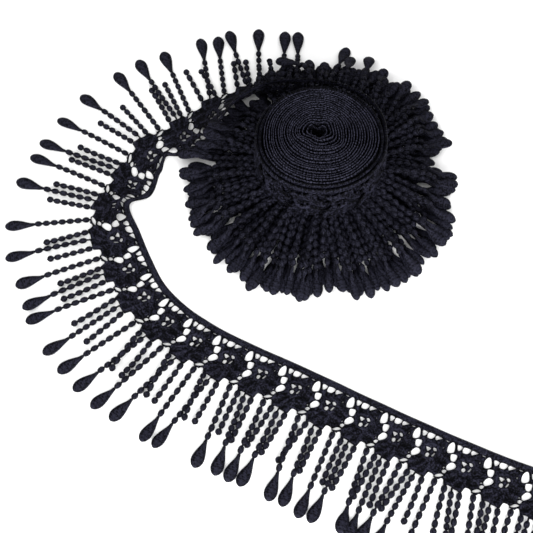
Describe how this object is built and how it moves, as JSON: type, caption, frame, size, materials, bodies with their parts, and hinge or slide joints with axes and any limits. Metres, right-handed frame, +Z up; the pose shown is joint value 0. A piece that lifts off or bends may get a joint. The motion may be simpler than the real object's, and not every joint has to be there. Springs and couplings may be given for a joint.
{
  "type": "tassel fringe trim",
  "caption": "Black guipure lace trim with beaded cord fringe and teardrop tassels, part wound into an upright roll, the loose end curved on the floor.",
  "frame": {"origin": "on the floor, at the axis of the wound roll, in the middle of its flat foot", "axes": "+Z up along the roll's axis; +X to the right and +Y away, seen from the side on which the loose end lies"},
  "size_m": [0.4014, 0.4768, 0.0592],
  "materials": {
    "lace_yarn": "matt embroidery yarn, dense stitching",
    "fringe_yarn": "matt embroidery yarn, beaded cords and padded drops"
  },
  "bodies": {
    "root": {"roll": "lace_yarn", "tail_band": "lace_yarn", "tail_fringe_1": "fringe_yarn", "tail_fringe_2": "fringe_yarn", "tail_fringe_3": "fringe_yarn", "tail_fringe_4": "fringe_yarn", "tail_fringe_5": "fringe_yarn", "tail_fringe_6": "fringe_yarn", "tail_fringe_7": "fringe_yarn", "tail_fringe_8": "fringe_yarn", "skirt_low": "fringe_yarn", "skirt_middle": "fringe_yarn", "skirt_top": "fringe_yarn"}
  },
  "joints": []
}
